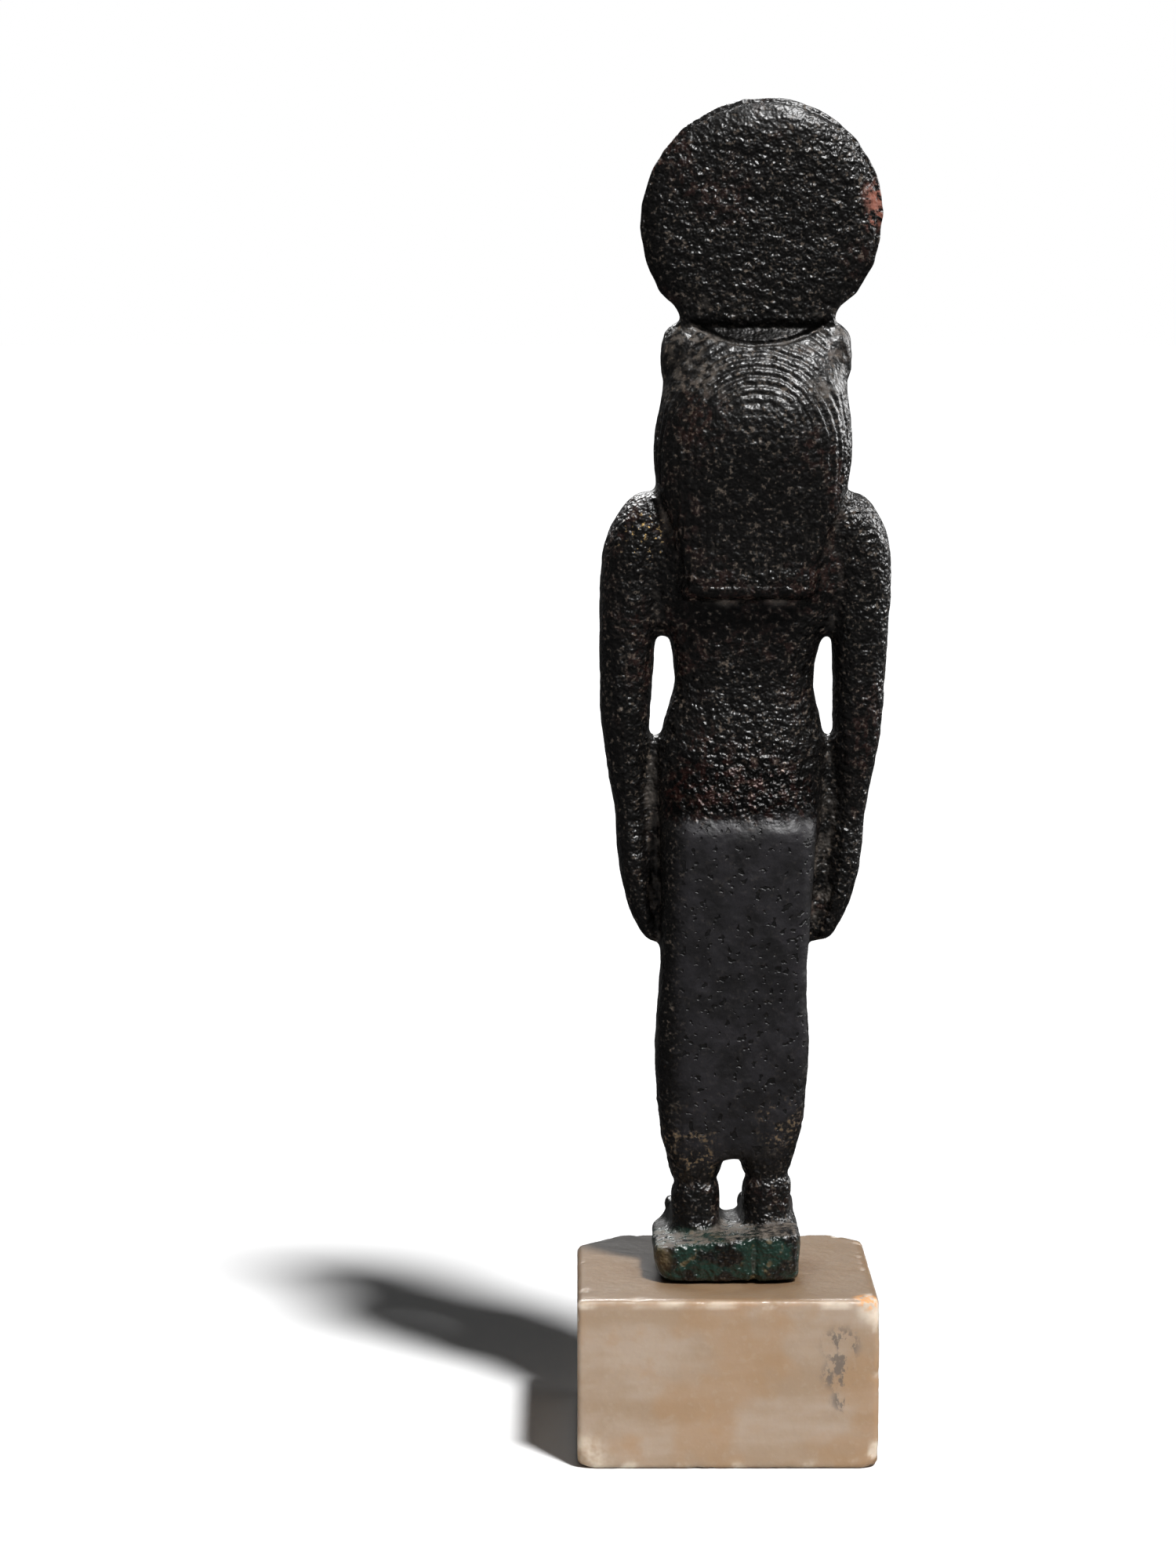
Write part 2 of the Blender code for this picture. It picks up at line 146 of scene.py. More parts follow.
class StageSettings(bpy.types.PropertyGroup):
    floor: FloatVectorProperty(
        name="Floor", description="Colour of the floor", size=3, subtype="COLOR", default=(0.86, 0.86, 0.86)
    )
    key_power: FloatProperty(name="Key", description="Strength of the key light", default=5.0)
    fill: FloatProperty(name="Fill", description="Strength of the light all round", default=0.05)
    gloss: FloatProperty(name="Gloss", description="Power of the softbox before the figure", default=22.0, unit="POWER")


# Shader maths


class Wire:
    """One socket of a graph. Python's operators add the Math nodes."""

    def __init__(self, graph, socket):
        self.graph, self.socket = graph, socket

    def maths(self, operation, other=0.0, swap=False):
        a, b = (other, self) if swap else (self, other)
        return self.graph.node("Math", {0: a, 1: b}, operation=operation)

    def __add__(self, other):
        return self.maths("ADD", other)

    __radd__ = __add__

    def __sub__(self, other):
        return self.maths("SUBTRACT", other)

    def __rsub__(self, other):
        return self.maths("SUBTRACT", other, swap=True)

    def __mul__(self, other):
        return self.maths("MULTIPLY", other)

    __rmul__ = __mul__

    def capped(self):
        """At most 1."""
        return self.maths("MINIMUM", 1.0)

    def between(self, low, high):
        """0 at low and 1 at high, with soft ends."""
        return self.graph.node("MapRange", {0: self, 1: low, 2: high}, interpolation_type="SMOOTHSTEP")


class Graph:
    """The nodes of one material."""

    def __init__(self, name):
        self.material = bpy.data.materials.new(name)
        self.material.use_nodes = True
        self.tree = self.material.node_tree
        self.tree.nodes.clear()
        self.place = self.node("TexCoord", {}, "Object")

    def node(self, kind, sockets, output=0, **settings):
        made = self.tree.nodes.new("ShaderNode" + kind)
        for name, value in settings.items():
            setattr(made, name, value)
        for key, value in sockets.items():
            if isinstance(value, Wire):
                self.tree.links.new(value.socket, made.inputs[key])
            else:
                made.inputs[key].default_value = value
        return Wire(self, made.outputs[output]) if made.outputs else made

    def axes(self):
        """The place's x, y and z."""
        return (self.node("SeparateXYZ", {0: self.place}, axis) for axis in "XYZ")

    def colour(self, factor, a, b):
        a, b = (c if isinstance(c, Wire) else (*c, 1.0) for c in (a, b))
        return self.node("Mix", {0: factor, 6: a, 7: b}, 2, data_type="RGBA")

    def grain(self, size, detail=2.0, roughness=0.5, stretch=None, seed=0.0):
        """Smooth noise whose lumps are about so big, in metres."""
        vector = self.place
        if stretch or seed:
            vector = self.node("Mapping", {0: vector, 1: (seed, seed, seed), 3: stretch or (1, 1, 1)})
        sockets = {"Vector": vector, "Scale": 1.0 / size, "Detail": detail, "Roughness": roughness}
        return self.node("TexNoise", sockets)

    def spot(self, centre, reach, soft=0.4):
        """1 near a point and 0 outside its reach; both in millimetres."""
        centre = tuple(c * MM for c in centre)
        away = self.node("VectorMath", {0: self.place, 1: centre}, "Value", operation="DISTANCE")
        return away.between(reach * MM, reach * soft * MM)

    def attribute(self, name):
        return self.node("Attribute", {}, "Fac", attribute_name=name)

    def bumped(self, height, distance, below=None):
        sockets = {"Height": height, "Distance": distance, "Strength": 1.0}
        if below is not None:
            sockets["Normal"] = below
        return self.node("Bump", sockets)

    def finish(self, sockets):
        shader = self.node("BsdfPrincipled", sockets)
        self.node("OutputMaterial", {"Surface": shader})
        return self.material


# Mesh helpers


def merged_copy(node):
    """A bmesh of a CAD node with its loose triangles joined up."""
    bm = bmesh.new()
    bm.from_mesh(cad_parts[node].data)
    bmesh.ops.remove_doubles(bm, verts=bm.verts, dist=1e-6)
    return bm


def piece(name, bm, material=None):
    mesh = bpy.data.meshes.new(name)
    bm.to_mesh(mesh)
    bm.free()
    made = bpy.data.objects.new(name, mesh)
    bpy.context.scene.collection.objects.link(made)
    if material:
        made.data.materials.append(material)
    return made


def settle(made, kind, **settings):
    """Adds a modifier and applies it at once."""
    modifier = made.modifiers.new(kind.lower(), kind)
    for name, value in settings.items():
        setattr(modifier, name, value)
    depsgraph = bpy.context.evaluated_depsgraph_get()
    mesh = bpy.data.meshes.new_from_object(made.evaluated_get(depsgraph))
    old = made.data
    made.modifiers.clear()
    made.data = mesh
    mesh.name = made.name
    bpy.data.meshes.remove(old)


def read(mesh):
    """Every vertex's place and normal, as rows of three."""
    places = np.empty(len(mesh.vertices) * 3, np.float32)
    normals = np.empty(len(mesh.vertices) * 3, np.float32)
    mesh.vertices.foreach_get("co", places)
    mesh.vertex_normals.foreach_get("vector", normals)
    return places.reshape(-1, 3).astype(float), normals.reshape(-1, 3).astype(float)


def write(mesh, places):
    mesh.vertices.foreach_set("co", places.astype(np.float32).ravel())
    mesh.update()


def ramp(values, low, high):
    """0 at low and 1 at high, with soft ends."""
    t = np.clip((values - low) / (high - low), 0.0, 1.0)
    return t * t * (3 - 2 * t)


def band(values, low, high, soft):
    """1 between low and high, and 0 beyond them by the soft width."""
    return ramp(values, low - soft, low) * (1 - ramp(values, high, high + soft))


def lumps(places, size, seed=0.0):
    """Noise of about -1 to 1 whose lumps are so many metres across."""
    shift = Vector((seed, seed * 1.7, seed * 2.3))
    return np.array([noise.noise(Vector(p) / size + shift) for p in places])


def groove(phase):
    """-1 in the middle of each groove and 0 on the strand between two, one groove to a unit."""
    return -(0.5 + 0.5 * np.cos(2 * math.pi * phase)) ** 1.6


def smoothed(mesh, rounds, strength):
    """Every vertex's place after so many rounds of moving it towards the mean of its neighbours."""
    places, _ = read(mesh)
    ends = np.empty(len(mesh.edges) * 2, np.int32)
    mesh.edges.foreach_get("vertices", ends)
    a, b = ends.reshape(-1, 2).T
    count = len(places)
    shares = np.bincount(a, minlength=count) + np.bincount(b, minlength=count)
    for _ in range(rounds):
        for axis in range(3):
            column = places[:, axis]
            total = np.bincount(a, column[b], count) + np.bincount(b, column[a], count)
            places[:, axis] = column + strength * (total / shares - column)
    return places


def hollows(mesh, rounds):
    """How far each point lies below the surface that so many rounds of smoothing would leave."""
    places, normals = read(mesh)
    return np.einsum("ij,ij->i", smoothed(mesh, rounds, 0.7) - places, normals)


def keep_attribute(mesh, name, values):
    mesh.attributes.new(name, "FLOAT", "POINT").data.foreach_set("value", values.astype(np.float32))


def give_material(made, material):
    made.data.materials.clear()
    made.data.materials.append(material)


# The bronze


def sway(height):
    return LEG_OFFSET - LEAN * max(height - LEAN_FROM, 0.0)


def bead(bm, centre, radii, tilt=(0.0, 0.0, 0.0)):
    """An egg-shaped lump of wax in the figure's own millimetres, with its tilt in degrees."""
    x, y, height = centre
    place = Vector((x + sway(height), y, height)) * MM + Vector((0, 0, SOLES))
    turn = Euler([math.radians(a) for a in tilt])
    lump = bmesh.new()
    matrix = Matrix.LocRotScale(place, turn, Vector(radii) * MM)
    bmesh.ops.create_uvsphere(lump, u_segments=28, v_segments=18, radius=1.0, matrix=matrix)
    mesh = bpy.data.meshes.new("lump")
    lump.to_mesh(mesh)
    lump.free()
    bm.from_mesh(mesh)
    bpy.data.meshes.remove(mesh)


def pair(bm, centre, radii, tilt=(0.0, 0.0, 0.0)):
    """The same lump on both sides."""
    x, y, height = centre
    pitch, roll, yaw = tilt
    for side in (1, -1):
        bead(bm, (side * x, y, height), radii, (pitch, side * roll, side * yaw))


def strip(bm, stations, beads=7):
    """A strip of wax through stations of (x, y, height, half width, half depth, half height)."""
    for start, end in zip(stations, stations[1:]):
        for i in range(beads):
            t = i / beads
            x, y, height, *radii = [p + t * (q - p) for p, q in zip(start, end)]
            bead(bm, (x, y, height), radii)
    bead(bm, stations[-1][:3], stations[-1][3:])


def wax_details(bm):
    """The small forms that the fine skin can hold: the face, the ears' rims, the cobra and the toes."""
    pair(bm, (3.95, -8.55, 122.0), (1.45, 0.95, 0.62), (0, -12, -20))  # the eyes
    for side in (1, -1):
        lid = [(2.2, -9.25, 121.7), (3.0, -9.45, 122.6), (4.1, -9.2, 122.95), (5.2, -8.6, 122.6), (6.2, -7.7, 121.9)]
        strip(bm, [(side * x, y, z, 0.3, 0.34, 0.26) for x, y, z in lid], 5)
        under = [(2.3, -9.2, 121.5), (3.2, -9.3, 121.2), (4.3, -9.0, 121.2), (5.4, -8.3, 121.5)]
        strip(bm, [(side * x, y, z, 0.26, 0.3, 0.22) for x, y, z in under], 5)
        brow = [(1.5, -8.9, 123.6), (2.9, -9.0, 124.5), (4.6, -8.4, 124.6), (6.3, -7.2, 123.8)]
        strip(bm, [(side * x, y, z, 0.42, 0.5, 0.36) for x, y, z in brow], 5)
        lip = [(0.2, -12.2, 115.4), (1.5, -12.0, 114.9), (3.0, -11.0, 115.0), (4.2, -9.7, 115.7)]
        strip(bm, [(side * x, y, z, 0.4, 0.5, 0.42) for x, y, z in lip], 5)
        jaw = [(0.0, -10.2, 112.6), (1.8, -9.9, 113.0), (3.4, -8.9, 114.0)]
        strip(bm, [(side * x, y, z, 0.9, 0.9, 0.75) for x, y, z in jaw], 4)
        rim = [(9.9, -0.9, 133.0), (11.6, -1.2, 133.9), (13.1, -0.9, 132.6), (13.5, -0.5, 130.2), (12.8, -0.3, 127.6)]
        strip(bm, [(side * x, y, z, 0.55, 0.9, 0.6) for x, y, z in rim], 6)
    bead(bm, (0, -12.45, 118.9), (1.9, 0.9, 0.95), (20, 0, 0))  # the nose
    pair(bm, (2.3, -11.0, 116.6), (2.15, 1.75, 1.8), (0, 8, 0))  # the muzzle
    hood = [(0, -5.0, 131.8, 0.9, 1.0, 0.9), (0, -4.9, 135.4, 1.55, 0.8, 1.2), (0, -4.7, 138.4, 1.7, 0.75, 1.3)]
    strip(bm, hood)  # the cobra's body
    bead(bm, (0, -5.1, 141.8), (0.95, 1.65, 0.9), (14, 0, 0))  # the cobra's head
    for side in (1, -1):
        for toe in range(5):
            x = side * (5.6 + (toe - 2) * 1.62)
            wide = 0.86 if toe else 1.02
            bead(bm, (x, -8.7 + 0.5 * toe, 1.35), (wide, 1.9, 1.25 if toe else 1.45))
            bead(bm, (x, -10.1 + 0.5 * toe, 1.6), (0.62 * wide, 0.55, 0.4))


def in_figure(places):
    """Each point's x from the leaning middle line, its y and its height over the soles, in millimetres."""
    height = (places[:, 2] - SOLES) / MM
    return places[:, 0] / MM - LEG_OFFSET + LEAN * np.maximum(height - LEAN_FROM, 0), places[:, 1] / MM, height


def thin_rim(places):
    """Thins the disc towards its rim, about the plane through its middle."""
    x, _, height = in_figure(places)
    from_disc = np.hypot(x, height - DISC_MIDDLE)
    share = np.clip(1 - (DISC_RADIUS - from_disc) / 5.0, 0, 1.1) ** 2 * ramp(height, 134.5, 139.0)
    places[:, 1] += (DISC_PLANE * MM - places[:, 1]) * 0.45 * share


def depth_of_carving(settings, places, normals):
    """How far the carver's tools and the soil moved each point of the skin outwards, in metres."""
    x, y, height = in_figure(places)
    wide = np.abs(x)
    facing_side = ramp(np.abs(normals[:, 0]), 0.62, 0.82)
    pitch = settings.strand_pitch / MM

    # The wig: strands fall straight from arches that run over the crown
    half = np.interp(height, (94.4, 102.0, 106.5, 110.0, 116.0), (9.9, 11.0, 12.5, 13.8, 14.6))
    back = ramp(y, 6.6, 7.2) + ramp(height, 110.3, 111.2)
    on_wig = np.clip(back, 0, 1) * band(height, 97.0, 133.0, 0.5) * (1 - ramp(wide - half, 0.4, 1.0))
    on_wig *= ramp(y, -1.6, -0.8)
    behind_ear = band(height, 124.5, 135.0, 1.0) * ramp(wide, 9.2, 10.4)
    on_wig *= 1 - 0.85 * behind_ear
    arch = np.where(height > 115.0, np.hypot(x, (height - 115.0) * 0.86), wide)
    worn = 0.30 + 0.70 * ramp(np.hypot(x, (height - 111.5) * 0.82), 6.0, 12.0)
    worn *= 0.60 + 0.40 * ramp(lumps(places, 4.5 * MM, 17.0), -0.35, 0.25)
    waver = lumps(places, 5 * MM, 3.0) * 0.34 + lumps(places, 1.8 * MM, 4.0) * 0.10
    strands = groove(arch / pitch + waver) * (1 - facing_side) + groove(y / pitch + waver) * facing_side

    # The disc's foot overlaps the crown, with a dark line under it
    from_disc = np.hypot(x, height - DISC_MIDDLE)
    on_wig *= ramp(from_disc, DISC_RADIUS - 0.2, DISC_RADIUS + 0.5)
    depth = settings.strand_depth * strands * on_wig * worn
    under_disc = band(from_disc, DISC_RADIUS - 0.1, DISC_RADIUS + 0.1, 0.45) * (1 - ramp(height, 134.0, 135.0))
    depth -= 0.42 * MM * under_disc * ramp(y, 0.5, 1.5) * (1 - ramp(wide, 9.5, 10.5))

    # The grooved band along its lower edge
    low_edge = band(height, 96.3, 96.6, 0.28) * ramp(y, 5.5, 6.3) * (1 - ramp(wide, 9.6, 10.2))
    depth -= 0.24 * MM * low_edge

    # The front: two lappets, the hair over the brow, and the ruff of mane round the face
    in_front = 1 - ramp(y, -3.4, -2.6)
    from_face = np.hypot(x, height - FACE_MIDDLE)
    lappet = in_front * band(height, 99.6, 116.0, 0.4) * band(wide, 4.6, 13.4, 0.3) * ramp(from_face, 12.0, 12.7)
    depth += 0.20 * MM * groove(x / pitch) * lappet
    for line in (98.4, 99.3):
        depth -= 0.22 * MM * in_front * band(height, line - 0.1, line + 0.1, 0.25) * band(wide, 4.4, 13.0, 0.4)
    brow = (1 - ramp(y, -1.0, 0.0)) * band(height, 120.0, 132.8, 0.5) * ramp(from_face, 12.0, 12.6)
    depth += 0.18 * MM * groove(x / pitch) * brow * (1 - ramp(wide, 9.6, 10.4))
    turn = np.arctan2(height - FACE_MIDDLE, x) / (2 * math.pi)
    ruff = in_front * band(from_face, 8.3, 11.9, 0.5)
    depth += 0.30 * MM * groove(turn * settings.mane_locks) * ruff
    depth -= 0.30 * MM * in_front * band(from_face, 7.9, 8.2, 0.35) * ramp(height, 112.0, 114.0)
    whiskers = band(height, 115.8, 117.8, 0.2) * band(wide, 1.6, 4.6, 0.3) * (1 - ramp(y, -10.6, -10.2))
    depth += 0.14 * MM * groove(height / 0.8) * whiskers
    muzzle = (1 - ramp(y, -10.4, -9.6)) * band(height, 112.0, 119.2, 0.3)
    mouth = 115.0 + 0.10 * (wide - 2.2) ** 2
    depth -= 0.34 * MM * muzzle * band(height - mouth, -0.05, 0.05, 0.28) * (1 - ramp(wide, 4.4, 5.0))
    depth -= 0.32 * MM * muzzle * (1 - ramp(wide, 0.10, 0.38)) * band(height, 115.0, 118.0, 0.2)
    nostrils = np.hypot(wide - 0.95, height - 118.45)
    depth -= 0.40 * MM * (1 - ramp(y, -11.6, -11.0)) * (1 - ramp(nostrils, 0.25, 0.60))
    eye = np.hypot(wide - 3.95, (height - 122.0) * 1.5)
    depth -= 0.22 * MM * (1 - ramp(y, -7.2, -6.8)) * band(eye, 1.75, 1.85, 0.25) * in_front
    depth -= 0.16 * MM * (1 - ramp(eye, 0.3, 0.6)) * in_front

    # A collar of plain rings on the chest
    neck = np.hypot(x, (height - 110.5) * 0.9)
    collar = (1 - ramp(y, -3.2, -2.6)) * band(neck, 4.5, 12.6, 0.3) * (1 - ramp(wide, 3.8, 4.4))
    collar *= 1 - ramp(height, 107.0, 108.0)
    depth += 0.16 * MM * groove(neck / 1.9) * collar

    # The fingers
    on_hand = band(height, 43.0, 51.5, 0.8) * band(wide, 11.2, 18.5, 0.5) * ramp(np.abs(normals[:, 0]), 0.35, 0.6)
    depth += 0.26 * MM * groove((y + 0.4) / 1.75 + 0.5) * on_hand * (1 - ramp(np.abs(y + 0.4), 2.6, 3.2))

    # What the soil did: waves all over, softer on the smooth panel of the skirt's back
    panel = ramp(y, 4.2, 5.6) * band(height, 13.0, 60.5, 3.0) * (1 - ramp(wide, 8.6, 11.0))
    rough = 1 - 0.75 * panel
    # The seat's edge, rounded off
    depth -= 0.50 * MM * ramp(y, 4.2, 5.6) * np.exp(-(((height - 62.2) / 2.2) ** 2)) * (1 - ramp(wide, 10.0, 12.5))
    depth += settings.corrosion * rough * lumps(places, 3.4 * MM, 11.0)
    depth += 0.55 * settings.corrosion * rough * lumps(places, 1.25 * MM, 5.0)

    # The disc's rim, uneven and kept within the solid's radius
    on_rim = ramp(from_disc, DISC_RADIUS - 1.6, DISC_RADIUS - 0.4) * ramp(height, 133.0, 135.0)
    depth += 0.20 * MM * on_rim * (lumps(places, 2.6 * MM, 21.0) - 0.6)
    outwards = ramp(from_disc, DISC_RADIUS - 1.0, DISC_RADIUS - 0.6) * (1 - ramp(np.abs(normals[:, 1]), 0.3, 0.6))
    depth += np.clip(DISC_RADIUS - 0.1 - from_disc, -0.3, 0.6) * MM * outwards * ramp(height, 136.5, 139.0)

    # Crusts at the hem, and the plinth with its casting seam
    crust = band(height, 8.5, 19.0, 2.0) * ramp(np.abs(x + 0.4), 4.5, 6.5)
    depth += 0.16 * MM * crust * np.maximum(lumps(places, 0.9 * MM, 9.0), 0)
    plinth = 1 - ramp(height, -0.6, 0.4)
    depth += 0.20 * MM * plinth * lumps(places, 3.0 * MM, 31.0)
    seam = plinth * band(x, -3.4, -2.7, 0.35) * ramp(y, 8.0, 9.0)
    return depth - 0.35 * MM * seam


def bronze_material(settings):
    g = Graph("dark patinated bronze")
    x, y, z = g.axes()
    dust = g.attribute("hollow")
    broad = g.grain(0.011, 3)
    fine = g.grain(0.0013, 4, 0.62)
    speck = g.grain(0.00055, 2, seed=4.0)

    # The smooth panel of the skirt's back, with a ragged edge
    ragged = z + broad * 0.006 + fine * 0.0030
    across = (x + 0.0022 + broad * 0.002).maths("ABSOLUTE")
    on_back = y.between(0.0034, 0.0054)
    panel = on_back * ragged.between(0.1000, 0.0965) * ragged.between(0.042, 0.050)
    panel = panel * across.between(0.0118, 0.0084)

    blotch = broad.between(0.50, 0.64) * fine.between(0.46, 0.60)
    base = g.colour(blotch * (1 - panel * 0.8) * 0.7, tuple(settings.metal), tuple(settings.brown))
    # The panel's paler blue-grey is partly its own smoother patina and partly a painted reflection of the floor
    cloud = g.grain(0.0045, 3, 0.6, seed=5.0).between(0.36, 0.62)
    panel_tone_and_sheen = g.colour(cloud, (0.0064, 0.0056, 0.0066), (0.0140, 0.0124, 0.0152))
    pores = g.grain(0.0011, 1, seed=9.0).between(0.62, 0.69) * panel
    base = g.colour(panel * 0.9, base, panel_tone_and_sheen)
    # Painted shade: the panel's pits are coloured near-black
    base = g.colour(pores * 0.9, base, (0.0012, 0.0010, 0.0010))
    flecks = speck.between(0.52, 0.70) * fine.between(0.43, 0.62) * (1 - panel * 0.85)
    base = g.colour(flecks * 0.50, base, (0.150, 0.116, 0.088))
    seat = on_back * z.between(0.0930, 0.0950) * z.between(0.1080, 0.0990)
    base = g.colour(seat * fine.between(0.50, 0.62) * 0.5, base, (0.026, 0.0056, 0.0036))
    # Painted shade: the disc's lowest part, where it stands over the crown, is made dark, bare of dust and dull
    disc_foot_shade = g.spot((-4.8, 2.0, 181.0), 18.1, 0.97) * z.between(0.1674, 0.1664)
    base = g.colour(disc_foot_shade * 0.8, base, tuple(settings.metal))

    # Bare red oxide on the disc's rim, and yellow specks on a shoulder
    rim = (g.spot((-22.6, 3.0, 184.5), 4.0) + g.spot((-22.0, 3.0, 181.0), 3.0)) * fine.between(0.46, 0.58)
    rim = rim + g.spot((11.6, 2.5, 189.5), 2.6) * fine.between(0.52, 0.60) * 0.6
    base = g.colour(rim.capped() * 0.85, base, tuple(settings.cuprite))
    gold = g.spot((12.4, 4.5, 135.2), 4.6) * speck.between(0.61, 0.68) * fine.between(0.46, 0.58)
    base = g.colour(gold, base, (0.60, 0.40, 0.15))

    # Crusts at the hem, green and earth on the plinth, and dirt in the hollows
    hem = g.spot((6.2, 6.0, 45.2), 7.0) + g.spot((-8.6, 6.0, 48.0), 5.4) + g.spot((4.0, 5.0, 41.6), 4.0)
    crust = hem * g.grain(0.0006, 2, seed=2.0).between(0.50, 0.68) * g.grain(0.0030, 2, seed=7.0).between(0.42, 0.54)
    base = g.colour(crust.capped() * 0.65, base, tuple(settings.ochre))
    low = z.between(0.0330, 0.0312)
    patina = low * g.grain(0.0042, 3, seed=6.0).between(0.40, 0.52)
    base = g.colour(patina * 0.9, base, tuple(settings.green))
    soil = low * g.grain(0.0021, 3, seed=8.0).between(0.60, 0.70) + g.spot((10.6, 11.0, 29.0), 3.2)
    base = g.colour(soil.capped() * 0.6, base, (0.13, 0.085, 0.03))
    dirt = dust * (1 - panel * 0.9) * (1 - disc_foot_shade) * g.grain(0.0024, 3, seed=3.0).between(0.40, 0.64)
    base = g.colour(dirt * 0.75, base, tuple(settings.dust))
    caked = g.attribute("caked") * fine.between(0.40, 0.60) * (1 - disc_foot_shade)
    base = g.colour(caked * 0.8, base, (0.115, 0.092, 0.072))

    matt = (dirt + caked + crust + rim + soil + gold * 0.3).capped()
    roughness = 0.29 + fine * 0.18 + matt * 0.38 + panel * 0.14

    # Corrosion all over, calmer on the wig, on the front and at the top of the disc
    wig = y.between(0.0062, 0.0070) * z.between(0.1292, 0.1310) + y.between(0.0, 0.001) * z.between(0.1480, 0.1510)
    wig = wig.capped() * z.between(0.1664, 0.1654) * (0.55 + z.between(0.1480, 0.1560) * 0.45)
    rough = 1 - (wig + y.between(-0.001, -0.004) + z.between(0.1900, 0.1975)).capped() * 0.6
    bumps = g.bumped(g.grain(0.00080, 1, 0.5) * rough, 0.00050)
    bumps = g.bumped(g.grain(0.0018, 1, 0.5, seed=3.0) * rough, 0.00038, bumps)
    soft = g.bumped(g.grain(0.0011, 2), 0.00015)
    soft = g.bumped(g.grain(0.0042, 2, seed=8.0), 0.00040, soft)
    soft = g.bumped(1 - pores, 0.00013, soft)
    normal = g.node("Mix", {0: panel, 4: bumps, 5: soft}, 1, data_type="VECTOR")
    return g.finish(
        {
            "Base Color": base,
            "Roughness": roughness,
            "Metallic": (gold * 0.9 + seat * 0.6 + disc_foot_shade * 0.7).capped(),
            "Normal": normal,
            "Specular IOR Level": 0.5,
        }
    )


def keeps_its_edges(places):
    """1 on the face and the toes, whose fine forms the smoothing spares, and 0 elsewhere."""
    face = (1 - ramp(places[:, 1], -4.5 * MM, -3.0 * MM)) * ramp(places[:, 2], SOLES + 0.109, SOLES + 0.111)
    return np.maximum(face, 1 - ramp(places[:, 2], SOLES + 0.008, SOLES + 0.010))


def caked_dirt(places, normals):
    """Where dirt lies thick: on the plinth's top and at both sides of the crown."""
    height = (places[:, 2] - SOLES) / MM
    plinth_top = ramp(normals[:, 2], 0.55, 0.9) * (1 - ramp(height, 1.0, 2.0))
    crown = 0.6 * band(height, 125.0, 136.0, 3.0) * ramp(places[:, 1], 0.0, 1.0 * MM)
    crown *= 0.5 + 0.5 * ramp(normals[:, 2], 0.0, 0.6)
    crown *= 1 - band(places[:, 0] / MM + 5.0, -5.5, 3.5, 2.5) * 0.75
    return np.maximum(plinth_top, crown * ramp(lumps(places, 2.2 * MM, 13.0), -0.3, 0.4))


class BRONZE_OT_figure(bpy.types.Operator):
    """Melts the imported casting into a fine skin, carves it and gives it its patina"""

    bl_idname = "bronze.figure"
    bl_label = "Bronze figure"

    def execute(self, context):
        settings = context.scene.bronze_settings
        figure = piece("bronze_skin", merged_copy("bronze_figure"))
        settle(figure, "SUBSURF", levels=2, render_levels=2)
        wax = bmesh.new()
        wax.from_mesh(figure.data)
        wax_details(wax)
        wax.to_mesh(figure.data)
        wax.free()
        settle(figure, "REMESH", mode="VOXEL", voxel_size=settings.grain)
        settle(figure, "SMOOTH", factor=0.5, iterations=3)
        places, _ = read(figure.data)
        write(figure.data, smoothed(figure.data, 14, 0.6 * (1 - keeps_its_edges(places))))
        places, normals = read(figure.data)
        thin_rim(places)
        places += normals * depth_of_carving(settings, places, normals)[:, None]
        write(figure.data, np.clip(places, *CAD_BOX))
        triangles = sum(len(face.vertices) - 2 for face in figure.data.polygons)
        settle(figure, "DECIMATE", ratio=min(1.0, settings.triangles / triangles))
        figure.data.shade_smooth()
        keep_attribute(figure.data, "hollow", ramp(hollows(figure.data, 26), 0.05 * MM, 0.34 * MM))
        keep_attribute(figure.data, "caked", caked_dirt(*read(figure.data)))
        give_material(figure, bronze_material(settings))
        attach(figure, "root")
        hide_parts("bronze_figure")
        return {"FINISHED"}


# The stone


